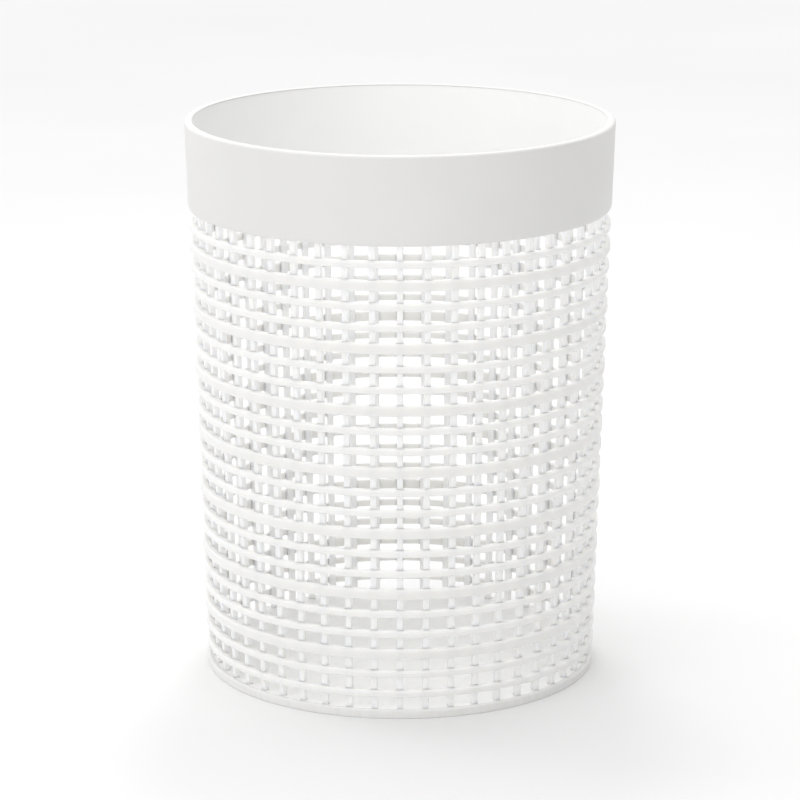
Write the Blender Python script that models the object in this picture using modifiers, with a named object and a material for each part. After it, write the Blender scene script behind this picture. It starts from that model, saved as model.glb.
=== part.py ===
"""Round mesh wastebasket with a lift-off collar that holds the bin liner.

The basket narrows towards the floor. Its wall has two layers: upright ribs inside and level
hoops outside, every third hoop a broad one. A plain rim stands above the mesh and a foot ring
below it. The ribs come in pairs, tied together inside the foot ring and inside the rim. The collar
drops over the rim, hangs on it by its top flange and covers it from outside.

Metres, +Z up. The origin is the centre of the foot, on the surface that the basket stands on.
"""

import math

import bmesh
import bpy
from mathutils import Matrix

# Overall size
HEIGHT = 0.280
MOUTH_RADIUS = 0.1069  # outside of the collar at the mouth
FOOT_RADIUS = 0.0987  # outside of the foot ring on the ground
CLEARANCE = 0.0003  # gap between touching pieces

# Collar
COLLAR_HEIGHT = 0.0433
COLLAR_PROUD = 0.0003  # how far it stands out from the line of the hoops
COLLAR_WALL = 0.0012
FLANGE_WIDTH = 0.0039  # the lip at the mouth, outside to inside
FLANGE_THICKNESS = 0.0016
LIP_ROUNDING = 0.0014
COLLAR_FOOT_ROUNDING = 0.0008
EDGE_ROUNDING = 0.0004

# Rim under the collar, upright so that the collar lifts off it
RIM_WALL = 0.0011

# Mesh wall
HOOP_COUNT = 22
HOOP_PITCH = 0.01024
FIRST_HOOP_HEIGHT = 0.0126  # middle of the lowest hoop
HOOP_DEPTH = 0.0025
NARROW_HOOP = 0.0033
BROAD_HOOP = 0.005
BROAD_EVERY = 3
BROAD_PROUD = 0.0001  # how far a broad hoop stands out from a narrow one
RIB_COUNT = 48
RIBS_TOGETHER = 2
RIB_WIDTH = 0.003
RIB_DEPTH = 0.0028
RIB_TOP_OVERLAP = 0.0045  # how far the ribs run up inside the rim
TIE_HEIGHT = 0.002
TIE_INSET = 0.0004  # the ties lie this far inside the ribs' faces

# Foot and floor
FOOT_HEIGHT = 0.0045
FOOT_FLANGE_WIDTH = 0.0095
FOOT_FLANGE_THICKNESS = 0.002
FLOOR_THICKNESS = 0.002
FLOOR_CROWN = 0.001  # the middle of the floor is raised so that the basket stands on its foot
CROWN_RADIUS = 0.078
CROWN_SLOPE = 0.004

# Faceting
FINE_SEGMENTS = 2 * RIB_COUNT
COARSE_SEGMENTS = RIB_COUNT
CORNER_STEPS = 3
SEAM_MERGE = 0.00001
SHARP_ANGLE = math.radians(35)

WALL_SLOPE = (MOUTH_RADIUS - COLLAR_PROUD - FOOT_RADIUS) / HEIGHT
COLLAR_FOOT = HEIGHT - COLLAR_HEIGHT
COLLAR_FOOT_RADIUS = MOUTH_RADIUS - WALL_SLOPE * COLLAR_HEIGHT
RIM_RADIUS = COLLAR_FOOT_RADIUS - COLLAR_WALL - CLEARANCE
RIM_FOOT = COLLAR_FOOT + CLEARANCE
RIM_TOP = HEIGHT - FLANGE_THICKNESS - CLEARANCE
RIBS_FOOT = FOOT_FLANGE_THICKNESS + CLEARANCE
RIBS_TOP = RIM_FOOT + RIB_TOP_OVERLAP
RIB_ANGLE = 2 * math.pi / RIB_COUNT


def wall_radius(height):
    """Outside of the narrow hoops at a height above the ground."""
    return FOOT_RADIUS + WALL_SLOPE * height


def rib_face_radius(height):
    """Outer face of the ribs at a height, just inside the hoops."""
    return wall_radius(height) - HOOP_DEPTH - CLEARANCE


def clear_scene():
    for obj in list(bpy.data.objects):
        bpy.data.objects.remove(obj, do_unlink=True)


def new_collection(name):
    collection = bpy.data.collections.new(name)
    bpy.context.scene.collection.children.link(collection)
    return collection


def plastic(name, colour, roughness):
    material = bpy.data.materials.new(name)
    material.use_nodes = True
    shader = material.node_tree.nodes["Principled BSDF"]
    shader.inputs["Base Color"].default_value = (*colour, 1.0)
    shader.inputs["Roughness"].default_value = roughness
    shader.inputs["Metallic"].default_value = 0.0
    return material


def corner(before, at, after, radius):
    """The points of a rounded corner in a profile of (radius, height) points."""
    back = (before[0] - at[0], before[1] - at[1])
    on = (after[0] - at[0], after[1] - at[1])
    back_length = math.hypot(*back)
    on_length = math.hypot(*on)
    start = [at[i] + back[i] / back_length * radius for i in range(2)]
    end = [at[i] + on[i] / on_length * radius for i in range(2)]
    points = []
    for step in range(CORNER_STEPS + 1):
        t = step / CORNER_STEPS
        weights = ((1 - t) ** 2, 2 * t * (1 - t), t**2)
        points.append(
            tuple(weights[0] * start[i] + weights[1] * at[i] + weights[2] * end[i] for i in range(2))
        )
    return points


def rounded_profile(corners):
    """A closed profile from (radius, height, rounding) corners, down the outer side first."""
    points = []
    for index, (radius, height, rounding) in enumerate(corners):
        before = corners[index - 1]
        after = corners[(index + 1) % len(corners)]
        if rounding:
            points += corner(before[:2], (radius, height), after[:2], rounding)
        else:
            points.append((radius, height))
    return points


def turned(name, profile, segments, collection, material=None, closed=True):
    """A piece turned about the Z axis: a ring where the profile is closed, or else a disc."""
    mesh = bpy.data.meshes.new(name)
    shape = bmesh.new()
    verts = [shape.verts.new((radius, 0.0, height)) for radius, height in profile]
    for first, second in zip(verts, verts[1:]):
        shape.edges.new((first, second))
    if closed:
        shape.edges.new((verts[-1], verts[0]))
    shape.to_mesh(mesh)
    shape.free()
    obj = bpy.data.objects.new(name, mesh)
    collection.objects.link(obj)
    screw = obj.modifiers.new("turn", "SCREW")
    screw.axis = "Z"
    screw.angle = 2 * math.pi
    screw.steps = segments
    screw.render_steps = segments
    screw.use_merge_vertices = True
    screw.merge_threshold = SEAM_MERGE
    screw.use_smooth_shade = True
    if material:
        mesh.materials.append(material)
    return obj


def ring(name, outer, inner, foot, top, segments, collection, material=None):
    """A ring of rectangular section."""
    profile = [(outer, top), (outer, foot), (inner, foot), (inner, top)]
    return turned(name, profile, segments, collection, material)


def make_cutter(obj):
    obj.hide_render = True
    obj.display_type = "WIRE"
    return obj


def boolean(obj, operation, other):
    modifier = obj.modifiers.new(other.name, "BOOLEAN")
    modifier.operation = operation
    modifier.solver = "EXACT"
    modifier.object = other


def build_collar(parts, material):
    """The collar: a plain band with a flange turned in over the rim and a rounded lip."""
    inner_top = MOUTH_RADIUS - COLLAR_WALL
    inner_foot = COLLAR_FOOT_RADIUS - COLLAR_WALL
    flange_inner = MOUTH_RADIUS - FLANGE_WIDTH
    flange_foot = HEIGHT - FLANGE_THICKNESS
    corners = [
        (MOUTH_RADIUS, HEIGHT, LIP_ROUNDING),
        (COLLAR_FOOT_RADIUS, COLLAR_FOOT, COLLAR_FOOT_ROUNDING),
        (inner_foot, COLLAR_FOOT, 0.0),
        (inner_top, flange_foot, 0.0),
        (flange_inner, flange_foot, 0.0),
        (flange_inner, HEIGHT, EDGE_ROUNDING),
    ]
    # The piece's own origin is at the middle of its lower edge, on the line it lifts along.
    profile = [(radius, height - COLLAR_FOOT) for radius, height in rounded_profile(corners)]
    collar = turned("retaining_collar", profile, FINE_SEGMENTS, parts, material)
    collar.location.z = COLLAR_FOOT
    return collar


def build_rim(parts, material):
    """The basket's own smooth rim, hidden from outside by the collar."""
    return ring(
        "rim_band", RIM_RADIUS, RIM_RADIUS - RIM_WALL, RIM_FOOT, RIM_TOP, FINE_SEGMENTS, parts, material
    )


def rib_blanks(cutters):
    """One group of ribs, evenly about +X, each leaning outwards with the wall."""
    foot = RIBS_FOOT + TIE_HEIGHT / 3
    top = RIBS_TOP - TIE_HEIGHT / 3
    middle = (foot + top) / 2
    lean = Matrix.Identity(4)
    lean[0][2] = WALL_SLOPE
    size = Matrix.Diagonal((RIB_DEPTH, RIB_WIDTH, top - foot, 1.0))
    place = Matrix.Translation((rib_face_radius(middle) - RIB_DEPTH / 2, 0.0, middle))
    shape = bmesh.new()
    for index in range(RIBS_TOGETHER):
        turn = Matrix.Rotation(RIB_ANGLE * (index - (RIBS_TOGETHER - 1) / 2), 4, "Z")
        bmesh.ops.create_cube(shape, size=1.0, matrix=turn @ place @ lean @ size)
    mesh = bpy.data.meshes.new("rib_blanks")
    shape.to_mesh(mesh)
    shape.free()
    blanks = bpy.data.objects.new("rib_blanks", mesh)
    cutters.objects.link(blanks)
    return make_cutter(blanks)


def tie(name, foot, cutters):
    """A short arc of rectangular section that joins one group of ribs, evenly about +X."""
    face = rib_face_radius(foot + TIE_HEIGHT / 2)
    outer = face - TIE_INSET
    inner = face - RIB_DEPTH + TIE_INSET
    sweep = RIBS_TOGETHER * RIB_ANGLE - 2 * CLEARANCE / FOOT_RADIUS
    shape = bmesh.new()
    section = [(outer, foot + TIE_HEIGHT), (outer, foot), (inner, foot), (inner, foot + TIE_HEIGHT)]
    verts = [shape.verts.new((radius, 0.0, height)) for radius, height in section]
    end = shape.faces.new(verts)
    bmesh.ops.rotate(shape, verts=verts, cent=(0, 0, 0), matrix=Matrix.Rotation(-sweep / 2, 3, "Z"))
    bmesh.ops.spin(
        shape,
        geom=[end, *end.edges, *verts],
        cent=(0, 0, 0),
        axis=(0, 0, 1),
        angle=sweep,
        steps=RIBS_TOGETHER,
    )
    bmesh.ops.recalc_face_normals(shape, faces=shape.faces)
    mesh = bpy.data.meshes.new(name)
    shape.to_mesh(mesh)
    shape.free()
    obj = bpy.data.objects.new(name, mesh)
    cutters.objects.link(obj)
    return make_cutter(obj)


def build_ribs(parts, cutters, material):
    """The ribs in pairs, numbered anticlockwise from +X, all sharing one mesh."""
    pattern = tie("foot_tie", RIBS_FOOT, cutters)
    boolean(pattern, "UNION", rib_blanks(cutters))
    boolean(pattern, "UNION", tie("top_tie", RIBS_TOP - TIE_HEIGHT, cutters))
    bpy.context.view_layer.update()
    finished = pattern.evaluated_get(bpy.context.evaluated_depsgraph_get())
    mesh = bpy.data.meshes.new_from_object(finished)
    mesh.name = "rib_pair"
    mesh.materials.clear()
    mesh.materials.append(material)
    for number in range(1, RIB_COUNT // RIBS_TOGETHER + 1):
        pair = bpy.data.objects.new(f"rib_pair_{number:02d}", mesh)
        pair.rotation_euler.z = RIB_ANGLE * (RIBS_TOGETHER * number - (RIBS_TOGETHER + 1) / 2)
        parts.objects.link(pair)


def build_hoops(parts, materials):
    """The level hoops around the ribs, numbered from the foot up."""
    for number in range(1, HOOP_COUNT + 1):
        broad = number % BROAD_EVERY == 0
        height = BROAD_HOOP if broad else NARROW_HOOP
        middle = FIRST_HOOP_HEIGHT + HOOP_PITCH * (number - 1)
        inner = wall_radius(middle) - HOOP_DEPTH
        outer = wall_radius(middle) + (BROAD_PROUD if broad else 0.0)
        ring(
            f"hoop_{number:02d}",
            outer,
            inner,
            middle - height / 2,
            middle + height / 2,
            COARSE_SEGMENTS,
            parts,
            materials[broad],
        )


def build_foot(parts, material):
    """The foot ring: a low skirt outside the ribs and a flat flange under them to stand on."""
    corners = [
        (wall_radius(FOOT_HEIGHT), FOOT_HEIGHT, 0.0),
        (FOOT_RADIUS, 0.0, EDGE_ROUNDING),
        (FOOT_RADIUS - FOOT_FLANGE_WIDTH, 0.0, 0.0),
        (FOOT_RADIUS - FOOT_FLANGE_WIDTH, FOOT_FLANGE_THICKNESS, 0.0),
        (FOOT_RADIUS - HOOP_DEPTH, FOOT_FLANGE_THICKNESS, 0.0),
        (wall_radius(FOOT_HEIGHT) - HOOP_DEPTH, FOOT_HEIGHT, 0.0),
    ]
    return turned("foot_ring", rounded_profile(corners), FINE_SEGMENTS, parts, material)


def build_floor(parts, material):
    """The floor, raised a little in the middle."""
    edge = rib_face_radius(RIBS_FOOT) - RIB_DEPTH - CLEARANCE
    foot = RIBS_FOOT
    top = foot + FLOOR_THICKNESS
    profile = [
        (0.0, top + FLOOR_CROWN),
        (CROWN_RADIUS, top + FLOOR_CROWN),
        (CROWN_RADIUS + CROWN_SLOPE, top),
        (edge, top),
        (edge, foot),
        (CROWN_RADIUS + CROWN_SLOPE, foot),
        (CROWN_RADIUS, foot + FLOOR_CROWN),
        (0.0, foot + FLOOR_CROWN),
    ]
    return turned("floor_panel", profile, COARSE_SEGMENTS, parts, material, closed=False)


def shade(collection):
    for obj in collection.objects:
        obj.data.shade_smooth()
        obj.data.set_sharp_from_angle(angle=SHARP_ANGLE)


def main():
    clear_scene()
    parts = new_collection("wastebasket")
    cutters = new_collection("cutters")
    collar_white = plastic("collar_white", (0.80, 0.80, 0.79), 0.35)
    rim_white = plastic("rim_white", (0.86, 0.86, 0.85), 0.40)
    rib_white = plastic("rib_white", (0.88, 0.88, 0.87), 0.45)
    hoop_white = plastic("hoop_white", (0.87, 0.87, 0.86), 0.42)
    broad_hoop_white = plastic("broad_hoop_white", (0.85, 0.85, 0.84), 0.42)
    foot_white = plastic("foot_white", (0.86, 0.86, 0.85), 0.45)
    floor_white = plastic("floor_white", (0.87, 0.87, 0.86), 0.50)
    build_collar(parts, collar_white)
    build_rim(parts, rim_white)
    build_ribs(parts, cutters, rib_white)
    build_hoops(parts, {False: hoop_white, True: broad_hoop_white})
    build_foot(parts, foot_white)
    build_floor(parts, floor_white)
    shade(parts)


main()
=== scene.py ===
"""The looks of the mesh wastebasket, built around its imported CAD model. Metres, +Z up."""

import math

import bmesh
import bpy
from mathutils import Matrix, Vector


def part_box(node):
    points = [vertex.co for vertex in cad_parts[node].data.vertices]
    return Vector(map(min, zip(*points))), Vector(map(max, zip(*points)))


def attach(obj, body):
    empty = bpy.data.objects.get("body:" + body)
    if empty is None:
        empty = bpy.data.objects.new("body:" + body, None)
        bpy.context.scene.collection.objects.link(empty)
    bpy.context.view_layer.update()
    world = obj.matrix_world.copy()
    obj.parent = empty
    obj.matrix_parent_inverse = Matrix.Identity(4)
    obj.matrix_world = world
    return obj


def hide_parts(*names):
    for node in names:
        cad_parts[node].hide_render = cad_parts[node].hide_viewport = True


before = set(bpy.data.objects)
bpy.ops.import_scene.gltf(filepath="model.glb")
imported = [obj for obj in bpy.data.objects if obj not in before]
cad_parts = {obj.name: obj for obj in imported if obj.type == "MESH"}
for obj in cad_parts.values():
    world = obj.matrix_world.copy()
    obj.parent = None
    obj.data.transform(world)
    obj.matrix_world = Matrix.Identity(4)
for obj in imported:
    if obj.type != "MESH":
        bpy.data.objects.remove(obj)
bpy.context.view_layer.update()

BASKET = "basket"
COLLAR = "collar"

# Names, counts and angles that follow from the frame's nodes
HOOPS = sorted(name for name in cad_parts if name.startswith("hoop_"))
RIB_PAIRS = sorted(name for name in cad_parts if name.startswith("rib_pair_"))
RIB_COUNT = 2 * len(RIB_PAIRS)
RIB_ANGLE = 2 * math.pi / RIB_COUNT

# Fineness of the meshes
STEPS_PER_RIB = 4
AROUND = STEPS_PER_RIB * RIB_COUNT
ARC_STEPS = 5
SHARP_ANGLE = math.radians(40)

# Hoops
BROAD_EVERY = 3  # every third hoop is a broad one
HOOP_DEPTH = 0.0034  # deep enough to run into the ribs, as in one moulding
HOOP_TOP_EDGE = 0.0010
HOOP_BOTTOM_EDGE = 0.0007
HOOP_INNER_EDGE = 0.0004

# Ribs
RIB_WIDTH = 0.003
RIB_DEPTH = 0.003
RIB_BEHIND = 0.0026  # from the outer face of the narrow hoops in to that of the ribs
RIB_EDGE = 0.0005
FILLET = 0.0006  # each side of the rib widens by this much where it meets a hoop
FILLET_STEPS = 3

# Parting lines of the mould, one on each quarter
SEAM_COUNT = 4
SEAM_HALF_WIDTH = 0.0004
SEAM_PROUD = 0.0001
SEAM_STEPS = (-1.6, -1.0, -0.5, 0.5, 1.0, 1.6)  # close steps at a line, in half widths
HOOP_SEAM_DEPTH = HOOP_TOP_EDGE / 3  # the lines run this far into the rounded edges

# Collar and rim
COLLAR_WALL = 0.0012
LIP_WIDTH = 0.0039
LIP_THICKNESS = 0.0006
LIP_EDGE = 0.0015
LIP_INNER_EDGE = 0.0005
SKIRT_TURN_HEIGHT = 0.0030  # the collar's lower edge turns in over this height
SKIRT_TURN_DEPTH = 0.0007
COLLAR_TURN_STEPS = 2 * ARC_STEPS
LIP_SEAT = 0.00004  # the collar's lip all but touches the rim
RIM_WALL = 0.0011
RIM_ROOT_HEIGHT = 0.0050  # the rim is thicker where the ribs run into it
RIM_ROOT_WALL = 0.0022
RIM_ROOT_SLOPE = 0.001
RIM_TOP_EDGE = 0.0004
RIM_INNER_TOP_EDGE = 0.0002
RIM_EDGE = 0.0003

# Foot and floor
FOOT_WALL = 0.0025
FOOT_FLANGE = 0.0095
FOOT_FLANGE_THICKNESS = 0.002
FOOT_EDGE = 0.0005
FOOT_TOP_EDGE = 0.0008
FOOT_INNER_TOP_EDGE = 0.0006
FOOT_INNER_EDGE = 0.0003
FOOT_SEAM_DEPTH = FOOT_EDGE / 2
FLOOR_OVERLAP = 0.0006  # the floor runs into the foot ring by this much
FLOOR_SINK = 0.0003  # and down by this much to the flange, as in one moulding
CROWN_RADIUS = 0.078
CROWN_SLOPE = 0.004
CROWN_RISE = 0.001
FLOOR_THICKNESS = 0.002
CROWN_EASING = ((0.3, 0.85), (0.7, 0.15))  # shares of the slope's run and of its rise
GATE_RADIUS = 0.004
GATE_FLAT_RADIUS = 0.0024
GATE_DIMPLE = 0.0003


# --- Measures read from the frame ------------------------------------------------------------


NODE_BOXES = {name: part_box(name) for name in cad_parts}


def node_radius(name):
    low, high = NODE_BOXES[name]
    return (high.x - low.x) / 2


def node_foot(name):
    return NODE_BOXES[name][0].z


def node_top(name):
    return NODE_BOXES[name][1].z


def node_middle(name):
    return (node_foot(name) + node_top(name)) / 2


HEIGHT = node_top("retaining_collar")
COLLAR_FOOT = node_foot("retaining_collar")
MOUTH_RADIUS = node_radius("retaining_collar")
LOWEST_HOOP = HOOPS[0]
HIGHEST_NARROW_HOOP = HOOPS[-1]
WALL_SLOPE = (node_radius(HIGHEST_NARROW_HOOP) - node_radius(LOWEST_HOOP)) / (
    node_middle(HIGHEST_NARROW_HOOP) - node_middle(LOWEST_HOOP)
)


def wall_radius(height):
    """Outside of the narrow hoops at a height."""
    return node_radius(LOWEST_HOOP) + WALL_SLOPE * (height - node_middle(LOWEST_HOOP))


# --- Mesh tools ------------------------------------------------------------------------------


def rounded_corner(before, at, after, radius):
    """Points of a round corner, tangent to both of its sides."""
    at = Vector(at)
    back = (Vector(before) - at).normalized()
    on = (Vector(after) - at).normalized()
    half = back.angle(on) / 2
    centre = at + (back + on).normalized() * (radius / math.sin(half))
    start = (at + back * (radius / math.tan(half)) - centre).normalized()
    end = (at + on * (radius / math.tan(half)) - centre).normalized()
    return [centre + start.slerp(end, step / ARC_STEPS) * radius for step in range(ARC_STEPS + 1)]


def rounded(corners):
    """A closed outline of points from (x, y, rounding) corners."""
    outline = []
    for index, (x, y, radius) in enumerate(corners):
        if radius:
            before = corners[index - 1][:2]
            after = corners[(index + 1) % len(corners)][:2]
            outline += [tuple(p) for p in rounded_corner(before, (x, y), after, radius)]
        else:
            outline.append((x, y))
    return outline


def finished(name, shape, material):
    """Makes an object of a bmesh, with its faces out and shaded smooth except at sharp edges."""
    bmesh.ops.recalc_face_normals(shape, faces=shape.faces)
    mesh = bpy.data.meshes.new(name)
    shape.to_mesh(mesh)
    shape.free()
    mesh.materials.append(material)
    mesh.shade_smooth()
    mesh.set_sharp_from_angle(angle=SHARP_ANGLE)
    obj = bpy.data.objects.new(name, mesh)
    bpy.context.scene.collection.objects.link(obj)
    return obj


def bridge(shape, rows, closed_rows, closed_way):
    """Quads between neighbouring rows of vertices."""
    count = len(rows)
    for index in range(count if closed_way else count - 1):
        row, following = rows[index], rows[(index + 1) % count]
        for place in range(len(row) if closed_rows else len(row) - 1):
            other = (place + 1) % len(row)
            shape.faces.new((row[place], following[place], following[other], row[other]))


def seam_rise(angle):
    """How far the parting line stands out at an angle round the basket."""
    quarter = 2 * math.pi / SEAM_COUNT
    off = abs((angle + quarter / 2) % quarter - quarter / 2)
    return SEAM_PROUD if off * wall_radius(0) < SEAM_HALF_WIDTH else 0.0


def turning_angles(with_seams):
    """Even steps round the axis, with close steps added at the parting lines."""
    angles = [2 * math.pi * step / AROUND for step in range(AROUND)]
    if with_seams:
        edge = SEAM_HALF_WIDTH / wall_radius(0)
        for seam in range(SEAM_COUNT):
            middle = 2 * math.pi * seam / SEAM_COUNT
            angles += [middle + edge * step for step in SEAM_STEPS]
    return sorted(angle % (2 * math.pi) for angle in angles)


def turned(name, outline, material, seam_outside=None):
    """A ring: a closed outline of (radius, height) points turned about Z. Points further out than
    seam_outside carry the parting lines."""
    shape = bmesh.new()
    rows = []
    for angle in turning_angles(seam_outside is not None):
        c, s = math.cos(angle), math.sin(angle)
        row = []
        for radius, height in outline:
            if seam_outside is not None and radius > seam_outside:
                radius += seam_rise(angle)
            row.append(shape.verts.new((radius * c, radius * s, height)))
        rows.append(row)
    bridge(shape, rows, closed_rows=True, closed_way=True)
    return finished(name, shape, material)


def turned_disc(name, outline, material):
    """A disc: an outline that starts and ends on the axis, turned about Z."""
    shape = bmesh.new()
    rows = []
    for angle in turning_angles(with_seams=False):
        c, s = math.cos(angle), math.sin(angle)
        row = [(radius * c, radius * s, height) for radius, height in outline[1:-1]]
        rows.append([shape.verts.new(point) for point in row])
    bridge(shape, rows, closed_rows=False, closed_way=True)
    for end, place in ((outline[0], 0), (outline[-1], -1)):
        hub = shape.verts.new((0.0, 0.0, end[1]))
        for index, row in enumerate(rows):
            shape.faces.new((hub, row[place], rows[(index + 1) % AROUND][place]))
    return finished(name, shape, material)


# --- Materials -------------------------------------------------------------------------------


# Sockets of a Mix node that is set to colours, which have to be reached by number
MIX_SHARE = 0
MIX_FIRST_COLOUR = 6
MIX_SECOND_COLOUR = 7
MIX_RESULT_COLOUR = 2

# Patterns in the plastic. Scales are per metre, and the marks of a scale with three numbers are
# drawn out upwards. A pair of levels is where a pattern's effect starts and where it is full.
CLOUD_SCALE = 26.0
FLOW_SCALE = (120.0, 120.0, 14.0)
SCUFF_SCALE = (420.0, 420.0, 90.0)
GRIT_SCALE = 2600.0
TINT_LEVELS = (0.35, 0.65)
DUST_LEVELS = (0.42, 0.66)
DUST_HEIGHTS = (0.001, 0.030)  # full at the first height, gone at the second
DUST_SHARE = 0.45
DUST_TINT = (0.955, 0.94, 0.905)
EDGE_POINTINESS = (0.52, 0.60)
EDGE_SHARE = 0.5
EDGE_TINT = 1.04

# How much the patterns change the roughness, and the relief of the surface
CLOUD_GLOSS_LEVELS = (0.3, 0.7)
CLOUD_GLOSS = 0.03
SCUFF_GLOSS_LEVELS = (0.45, 0.75)
SCUFF_GLOSS = 0.05
EDGE_GLOSS = 0.05
GRIT_STRENGTH = 0.35
FLOW_STRENGTH = 0.25
FLOW_HEIGHT = 2.5  # in heights of the grain

PLASTIC_IOR = 1.49
GLOW_DEPTH = 0.005  # how far light goes inside the plastic
GLOW_COLOURS = (1.0, 0.95, 0.85)  # how far red, green and blue go, in that depth


def maths_node(tree, operation, first, second):
    """Adds a Math node. Each value is a float or another node's output."""
    node = tree.nodes.new("ShaderNodeMath")
    node.operation = operation
    for socket, value in zip(node.inputs, (first, second)):
        if isinstance(value, float):
            socket.default_value = value
        else:
            tree.links.new(value, socket)
    return node.outputs["Value"]


class Nodes:
    """A short way to add and link the nodes of one material."""

    def __init__(self, name):
        self.material = bpy.data.materials.new(name)
        self.material.use_nodes = True
        self.tree = self.material.node_tree
        self.shader = self.tree.nodes["Principled BSDF"]

    def add(self, kind, **settings):
        node = self.tree.nodes.new(kind)
        for key, value in settings.items():
            setattr(node, key, value)
        return node

    def link(self, output, target):
        self.tree.links.new(output, target)

    def noise(self, vector, scale, detail=3.0, roughness=0.5):
        node = self.add("ShaderNodeTexNoise")
        node.inputs["Scale"].default_value = scale
        node.inputs["Detail"].default_value = detail
        node.inputs["Roughness"].default_value = roughness
        self.link(vector, node.inputs["Vector"])
        return node.outputs["Fac"]

    def stretched(self, vector, scale):
        node = self.add("ShaderNodeMapping")
        node.inputs["Scale"].default_value = scale
        self.link(vector, node.inputs["Vector"])
        return node.outputs["Vector"]

    def ranged(self, value, low, high, to_low, to_high):
        node = self.add("ShaderNodeMapRange")
        node.inputs["From Min"].default_value = low
        node.inputs["From Max"].default_value = high
        node.inputs["To Min"].default_value = to_low
        node.inputs["To Max"].default_value = to_high
        self.link(value, node.inputs["Value"])
        return node.outputs["Result"]

    def maths(self, operation, first, second):
        return maths_node(self.tree, operation, first, second)

    def blend(self, share, first, second):
        """Blends two colours, each a tuple or another node's output."""
        node = self.add("ShaderNodeMix", data_type="RGBA")
        for place, value in ((MIX_FIRST_COLOUR, first), (MIX_SECOND_COLOUR, second)):
            if isinstance(value, tuple):
                node.inputs[place].default_value = (*value, 1.0)
            else:
                self.link(value, node.inputs[place])
        self.link(share, node.inputs[MIX_SHARE])
        return node.outputs[MIX_RESULT_COLOUR]

    def bump(self, height, strength, distance, normal=None):
        node = self.add("ShaderNodeBump")
        node.inputs["Strength"].default_value = strength
        node.inputs["Distance"].default_value = distance
        self.link(height, node.inputs["Height"])
        if normal:
            self.link(normal, node.inputs["Normal"])
        return node.outputs["Normal"]


def moulded_plastic(name, light, dark, roughness, grain, glow):
    """White polypropylene: cloudy tint, flow marks, a fine mould grain, paler and smoother edges,
    and a little dust low down. grain is the grain's height, and glow how much light goes through."""
    n = Nodes(name)
    place = n.add("ShaderNodeTexCoord").outputs["Object"]
    cloud = n.noise(place, CLOUD_SCALE, detail=4.0, roughness=0.55)
    flow = n.noise(n.stretched(place, FLOW_SCALE), scale=1.0, detail=1.0)
    grit = n.noise(place, GRIT_SCALE, detail=2.0)
    scuff = n.noise(n.stretched(place, SCUFF_SCALE), scale=1.0, detail=2.0)

    colour = n.blend(n.ranged(cloud, *TINT_LEVELS, 0.0, 1.0), light, dark)
    dusty = tuple(channel * share for channel, share in zip(dark, DUST_TINT))
    height = n.add("ShaderNodeSeparateXYZ")
    n.link(place, height.inputs["Vector"])
    low_down = n.ranged(height.outputs["Z"], *DUST_HEIGHTS, DUST_SHARE, 0.0)
    dust = n.maths("MULTIPLY", low_down, n.ranged(scuff, *DUST_LEVELS, 0.0, 1.0))
    colour = n.blend(dust, colour, dusty)
    pointiness = n.add("ShaderNodeNewGeometry").outputs["Pointiness"]
    edge = n.ranged(pointiness, *EDGE_POINTINESS, 0.0, EDGE_SHARE)
    worn = tuple(min(1.0, channel * EDGE_TINT) for channel in light)
    colour = n.blend(edge, colour, worn)
    n.link(colour, n.shader.inputs["Base Color"])

    clouded = n.ranged(cloud, *CLOUD_GLOSS_LEVELS, -CLOUD_GLOSS, CLOUD_GLOSS)
    scuffed = n.ranged(scuff, *SCUFF_GLOSS_LEVELS, 0.0, SCUFF_GLOSS)
    polished = n.ranged(edge, 0.0, EDGE_SHARE, 0.0, -EDGE_GLOSS)
    change = n.maths("ADD", n.maths("ADD", clouded, scuffed), polished)
    n.link(n.maths("ADD", change, roughness), n.shader.inputs["Roughness"])

    normal = n.bump(grit, GRIT_STRENGTH, grain)
    normal = n.bump(flow, FLOW_STRENGTH, grain * FLOW_HEIGHT, normal)
    n.link(normal, n.shader.inputs["Normal"])

    n.shader.inputs["IOR"].default_value = PLASTIC_IOR
    n.shader.inputs["Subsurface Weight"].default_value = glow
    n.shader.inputs["Subsurface Radius"].default_value = GLOW_COLOURS
    n.shader.inputs["Subsurface Scale"].default_value = GLOW_DEPTH
    return n.material


RIB_LIGHT = (0.930, 0.930, 0.923)
RIB_DARK = (0.915, 0.914, 0.906)
# Painted shade: the hoops and the foot take the basket's white darkened, to hold down how brightly
# their outer faces are lit
SHADED_HOOP_LIGHT = (0.795, 0.793, 0.783)
SHADED_HOOP_DARK = (0.778, 0.775, 0.764)
# Painted shade: the broad hoops take the basket's white darkened further still, for their broader
# lit outer faces
SHADED_BROAD_LIGHT = (0.782, 0.780, 0.770)
SHADED_BROAD_DARK = (0.765, 0.762, 0.751)
FLOOR_LIGHT = (0.945, 0.945, 0.938)
FLOOR_DARK = (0.925, 0.924, 0.915)
RIM_LIGHT = (0.942, 0.942, 0.935)
RIM_DARK = (0.930, 0.929, 0.921)
# Painted shade: the collar's grey is the same white plastic darkened for its plain upright band
SHADED_COLLAR_LIGHT = (0.738, 0.733, 0.722)
SHADED_COLLAR_DARK = (0.722, 0.717, 0.706)

# Heights of the mould grain, and how much light goes through
SMOOTH_GRAIN = 0.00001
FINE_GRAIN = 0.00002
COARSE_GRAIN = 0.00003
WALL_GLOW = 0.85
FOOT_GLOW = 0.30
FLOOR_GLOW = 0.10
NO_GLOW = 0.0


# --- Pieces ----------------------------------------------------------------------------------


def stand_for(piece, body, slot, *nodes):
    """Puts the piece on its body, in place of the CAD nodes it is a finer shape of."""
    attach(piece, body)
    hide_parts(*nodes)


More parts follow.
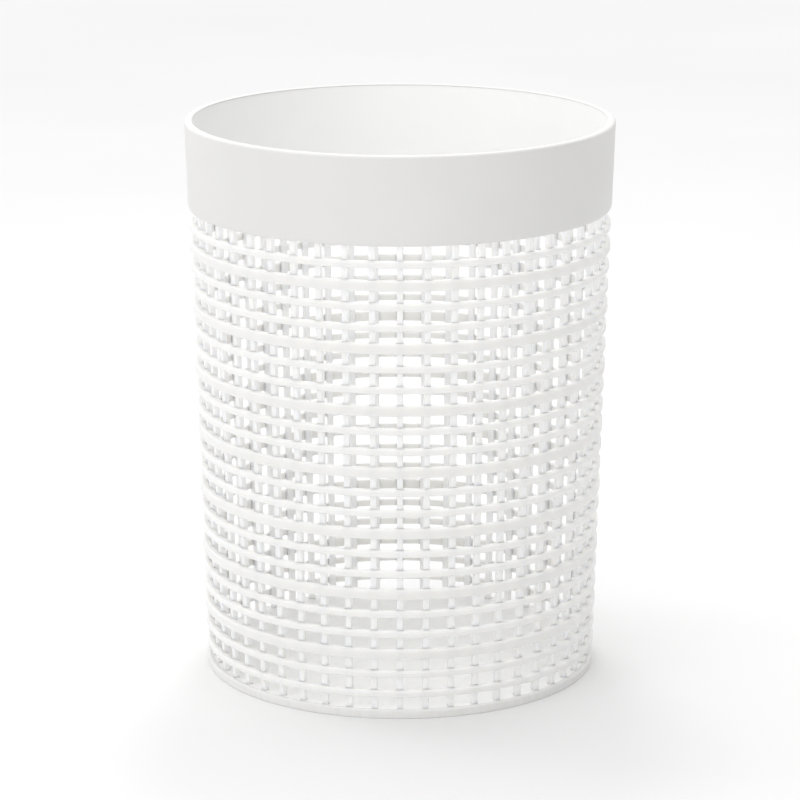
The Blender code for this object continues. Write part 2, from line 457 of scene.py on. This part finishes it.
def build_collar(material):
    """The plain band at the mouth, with a lip turned in over the rim."""
    foot_radius = MOUTH_RADIUS - WALL_SLOPE * (HEIGHT - COLLAR_FOOT)
    turn = []
    for step in range(COLLAR_TURN_STEPS + 1):
        angle = math.pi / 2 * step / COLLAR_TURN_STEPS
        turn.append(
            (
                foot_radius - SKIRT_TURN_DEPTH * (1 - math.cos(angle)),
                COLLAR_FOOT + SKIRT_TURN_HEIGHT * (1 - math.sin(angle)),
                0.0,
            )
        )
    corners = [
        (MOUTH_RADIUS, HEIGHT, LIP_EDGE),
        *turn,
        (foot_radius - COLLAR_WALL, COLLAR_FOOT, 0.0),
        (MOUTH_RADIUS - COLLAR_WALL, HEIGHT - LIP_THICKNESS, 0.0),
        (MOUTH_RADIUS - LIP_WIDTH, HEIGHT - LIP_THICKNESS, 0.0),
        (MOUTH_RADIUS - LIP_WIDTH, HEIGHT, LIP_INNER_EDGE),
    ]
    piece = turned("collar_shell", rounded(corners), material)
    stand_for(piece, COLLAR, "collar", "retaining_collar")


def build_rim(material):
    """The basket's own rim: a thin band, thicker at its root where the ribs run into it."""
    outer = node_radius("rim_band")
    foot = node_foot("rim_band")
    top = HEIGHT - LIP_THICKNESS - LIP_SEAT
    corners = [
        (outer, top, RIM_TOP_EDGE),
        (outer, foot, RIM_EDGE),
        (outer - RIM_ROOT_WALL, foot, RIM_EDGE),
        (outer - RIM_ROOT_WALL, foot + RIM_ROOT_HEIGHT - RIM_ROOT_SLOPE, RIM_EDGE),
        (outer - RIM_WALL, foot + RIM_ROOT_HEIGHT, RIM_EDGE),
        (outer - RIM_WALL, top, RIM_INNER_TOP_EDGE),
    ]
    piece = turned("rim_moulding", rounded(corners), material)
    stand_for(piece, BASKET, "rim", "rim_band")


def build_hoops(narrow_material, broad_material):
    """The level hoops, with rounded edges and the mould's parting lines."""
    for number, node in enumerate(HOOPS, start=1):
        broad = number % BROAD_EVERY == 0
        outer = node_radius(node)
        foot, top = node_foot(node), node_top(node)
        corners = [
            (outer, top, HOOP_TOP_EDGE),
            (outer, foot, HOOP_BOTTOM_EDGE),
            (outer - HOOP_DEPTH, foot, HOOP_INNER_EDGE),
            (outer - HOOP_DEPTH, top, HOOP_INNER_EDGE),
        ]
        material = broad_material if broad else narrow_material
        seam_outside = outer - HOOP_SEAM_DEPTH
        piece = turned(f"moulded_{node}", rounded(corners), material, seam_outside)
        stand_for(piece, BASKET, "broad_hoops" if broad else "hoops", node)


def rib_rows():
    """Heights of the cross-sections of a rib, each with how far a side widens there."""
    foot = node_foot(RIB_PAIRS[0])
    top = node_top(RIB_PAIRS[0])
    rows = [(foot, 0.0)]
    for node in HOOPS:
        below, above = node_foot(node), node_top(node)
        for step in range(FILLET_STEPS + 1):
            angle = math.pi / 2 * step / FILLET_STEPS
            rows.append((below - FILLET * (1 - math.sin(angle)), FILLET * (1 - math.cos(angle))))
        for step in range(FILLET_STEPS + 1):
            angle = math.pi / 2 * (1 - step / FILLET_STEPS)
            rows.append((above + FILLET * (1 - math.sin(angle)), FILLET * (1 - math.cos(angle))))
    rows.append((top, 0.0))
    return rows


def rib_section(height, widen):
    """A rib's outline at a height, as (radial, sideways) points."""
    outer = wall_radius(height) - RIB_BEHIND
    inner = outer - RIB_DEPTH
    half = RIB_WIDTH / 2
    corners = ((outer, half), (outer, -half), (inner, -half), (inner, half))
    outline = rounded([(radial, sideways, RIB_EDGE) for radial, sideways in corners])
    # The fillet is widest at the hoop's side of the rib and runs out at the rib's inner face.
    spread = []
    for radial, sideways in outline:
        share = (radial - inner) / RIB_DEPTH
        spread.append((radial, sideways + math.copysign(widen * share, sideways)))
    return spread


def build_ribs(material):
    """The upright ribs, two to a piece."""
    rows = [(height, rib_section(height, widen)) for height, widen in rib_rows()]
    for number, node in enumerate(RIB_PAIRS):
        shape = bmesh.new()
        for side in range(2):
            angle = RIB_ANGLE * (2 * number + side)
            c, s = math.cos(angle), math.sin(angle)
            made = []
            for height, outline in rows:
                row = [(x * c - y * s, x * s + y * c, height) for x, y in outline]
                made.append([shape.verts.new(point) for point in row])
            bridge(shape, made, closed_rows=True, closed_way=False)
            shape.faces.new(made[0])
            shape.faces.new(made[-1])
        piece = finished(f"moulded_{node}", shape, material)
        stand_for(piece, BASKET, "ribs", node)


def build_foot(material):
    """The foot ring: a low skirt on a flat flange."""
    radius = node_radius("foot_ring")
    top = node_top("foot_ring")
    ground_radius = wall_radius(0.0)
    corners = [
        (radius, top, FOOT_TOP_EDGE),
        (ground_radius, 0.0, FOOT_EDGE),
        (ground_radius - FOOT_FLANGE, 0.0, FOOT_INNER_EDGE),
        (ground_radius - FOOT_FLANGE, FOOT_FLANGE_THICKNESS, FOOT_INNER_EDGE),
        (radius - FOOT_WALL, FOOT_FLANGE_THICKNESS, FOOT_INNER_EDGE),
        (radius - FOOT_WALL, top, FOOT_INNER_TOP_EDGE),
    ]
    seam_outside = ground_radius - FOOT_SEAM_DEPTH
    piece = turned("moulded_foot", rounded(corners), material, seam_outside)
    stand_for(piece, BASKET, "foot", "foot_ring")


def build_floor(material):
    """The floor, raised in the middle, with the dimple that the moulding's gate leaves."""
    foot = node_foot("floor_panel")
    edge = node_radius("foot_ring") - FOOT_WALL + FLOOR_OVERLAP
    top = foot + FLOOR_THICKNESS
    crown_slope = [
        (CROWN_RADIUS + CROWN_SLOPE * run, top + CROWN_RISE * rise) for run, rise in CROWN_EASING
    ]
    outline = [
        (0.0, top + CROWN_RISE - GATE_DIMPLE),
        (GATE_FLAT_RADIUS, top + CROWN_RISE - GATE_DIMPLE),
        (GATE_RADIUS, top + CROWN_RISE),
        (CROWN_RADIUS, top + CROWN_RISE),
        *crown_slope,
        (CROWN_RADIUS + CROWN_SLOPE, top),
        (edge, top),
        (edge, foot - FLOOR_SINK),
        (CROWN_RADIUS + CROWN_SLOPE, foot - FLOOR_SINK),
        (CROWN_RADIUS, foot + CROWN_RISE),
        (GATE_RADIUS, foot + CROWN_RISE),
        (GATE_FLAT_RADIUS, foot + CROWN_RISE - GATE_DIMPLE),
        (0.0, foot + CROWN_RISE - GATE_DIMPLE),
    ]
    piece = turned_disc("moulded_floor", outline, material)
    stand_for(piece, BASKET, "floor", "floor_panel")


# --- Studio ----------------------------------------------------------------------------------


# Each lobe of the sky: the direction it is brightest in, how narrow it is, its strength
SKY_LOBES = [
    ((0, 0, 1), 2.0, 1.07),
    ((-1, 0, 0), 1.0, 0.46),
    ((0, -1, 0), 1.0, 1.0),
    ((0, 1, 0), 1.0, 1.19),
]
# Each lamp: name, place, diameter, power
LAMPS = [
    ("key", (-1.2, -1.0, 0.9), 1.0, 1.8),
    ("overhead", (0.0, 0.5, 1.2), 0.25, 1.9),
    ("overhead_left", (-0.5, 0.2, 1.1), 0.25, 1.0),
]
LAMP_TARGET = (0.0, 0.0, 0.14)

GROUND_RADIUS = 12.0
GROUND_STEPS = 96
PAPER_LIGHT = (0.85, 0.85, 0.85)
PAPER_DARK = (0.83, 0.83, 0.83)
PAPER_SCALE = 3.0
PAPER_LEVELS = (0.3, 0.7)

CAMERA_PLACE = (0.0, -1.7134, 0.5755)
CAMERA_DOWN = 0.2514  # how far the camera looks down, in radians
CAMERA_LENS = 157.36  # in millimetres, as is the sensor's width
CAMERA_SENSOR = 36.0
CAMERA_REACH = 50.0


def area_light(name, place, size, power):
    lamp = bpy.data.lights.new(name, "AREA")
    lamp.shape = "DISK"
    lamp.size = size
    lamp.energy = power
    obj = bpy.data.objects.new(name, lamp)
    bpy.context.scene.collection.objects.link(obj)
    obj.location = place
    toward = Vector(LAMP_TARGET) - Vector(place)
    obj.rotation_euler = toward.to_track_quat("-Z", "Y").to_euler()


def sky_lobe(tree, direction, toward, power, strength):
    """A soft patch of light in the sky, brightest toward one direction."""
    facing = tree.nodes.new("ShaderNodeVectorMath")
    facing.operation = "DOT_PRODUCT"
    tree.links.new(direction, facing.inputs[0])
    facing.inputs[1].default_value = Vector(toward).normalized()
    above = maths_node(tree, "MAXIMUM", facing.outputs["Value"], 0.0)
    shaped = maths_node(tree, "POWER", above, power)
    return maths_node(tree, "MULTIPLY", shaped, strength)


def build_sky():
    """A world that is the sum of the sky's lobes."""
    world = bpy.data.worlds.new("studio")
    bpy.context.scene.world = world
    world.use_nodes = True
    tree = world.node_tree
    direction = tree.nodes.new("ShaderNodeTexCoord").outputs["Generated"]
    lobes = [sky_lobe(tree, direction, *lobe) for lobe in SKY_LOBES]
    total = lobes[0]
    for lobe in lobes[1:]:
        total = maths_node(tree, "ADD", total, lobe)
    background = tree.nodes["Background"]
    background.inputs["Color"].default_value = (1.0, 1.0, 1.0, 1.0)
    tree.links.new(total, background.inputs["Strength"])


def paper():
    """Plain pale paper, a little uneven."""
    n = Nodes("pale_paper")
    place = n.add("ShaderNodeTexCoord").outputs["Object"]
    tone = n.ranged(n.noise(place, PAPER_SCALE), *PAPER_LEVELS, 0.0, 1.0)
    n.link(n.blend(tone, PAPER_LIGHT, PAPER_DARK), n.shader.inputs["Base Color"])
    n.shader.inputs["Roughness"].default_value = 0.9
    n.shader.inputs["Specular IOR Level"].default_value = 0.1
    return n.material


def build_studio():
    bpy.context.scene.view_settings.view_transform = "Standard"
    build_sky()
    for lamp in LAMPS:
        area_light(*lamp)

    shape = bmesh.new()
    bmesh.ops.create_circle(shape, cap_ends=True, segments=GROUND_STEPS, radius=GROUND_RADIUS)
    ground = finished("studio_floor", shape, paper())


def build_camera():
    data = bpy.data.cameras.new("camera")
    data.sensor_width = CAMERA_SENSOR
    data.lens = CAMERA_LENS
    data.clip_end = CAMERA_REACH
    camera = bpy.data.objects.new("camera", data)
    bpy.context.scene.collection.objects.link(camera)
    camera.location = CAMERA_PLACE
    camera.rotation_euler = (math.pi / 2 - CAMERA_DOWN, 0.0, 0.0)
    bpy.context.scene.camera = camera


# Each plastic: name, light and dark tint, roughness, grain, glow
rib_white = moulded_plastic("rib_white", RIB_LIGHT, RIB_DARK, 0.45, FINE_GRAIN, WALL_GLOW)
# The hoops' tone is painted shade, darker than the ribs' white of the same moulding
hoop_white = moulded_plastic("hoop_white", SHADED_HOOP_LIGHT, SHADED_HOOP_DARK, 0.45, FINE_GRAIN, WALL_GLOW)
# The broad hoops' tone is painted shade, darker than the narrow hoops'
broad_hoop_white = moulded_plastic(
    "broad_hoop_white", SHADED_BROAD_LIGHT, SHADED_BROAD_DARK, 0.42, FINE_GRAIN, WALL_GLOW
)
# The foot takes the hoops' painted shade
foot_white = moulded_plastic("foot_white", SHADED_HOOP_LIGHT, SHADED_HOOP_DARK, 0.46, COARSE_GRAIN, FOOT_GLOW)
floor_white = moulded_plastic(
    "floor_white", FLOOR_LIGHT, FLOOR_DARK, 0.46, COARSE_GRAIN, FLOOR_GLOW
)
rim_white = moulded_plastic("rim_white", RIM_LIGHT, RIM_DARK, 0.42, SMOOTH_GRAIN, NO_GLOW)
# The collar's tone is painted shade on its upright band
collar_white = moulded_plastic(
    "collar_white", SHADED_COLLAR_LIGHT, SHADED_COLLAR_DARK, 0.38, SMOOTH_GRAIN, NO_GLOW
)

build_camera()
build_studio()
build_collar(collar_white)
build_rim(rim_white)
build_hoops(hoop_white, broad_hoop_white)
build_ribs(rib_white)
build_foot(foot_white)
build_floor(floor_white)
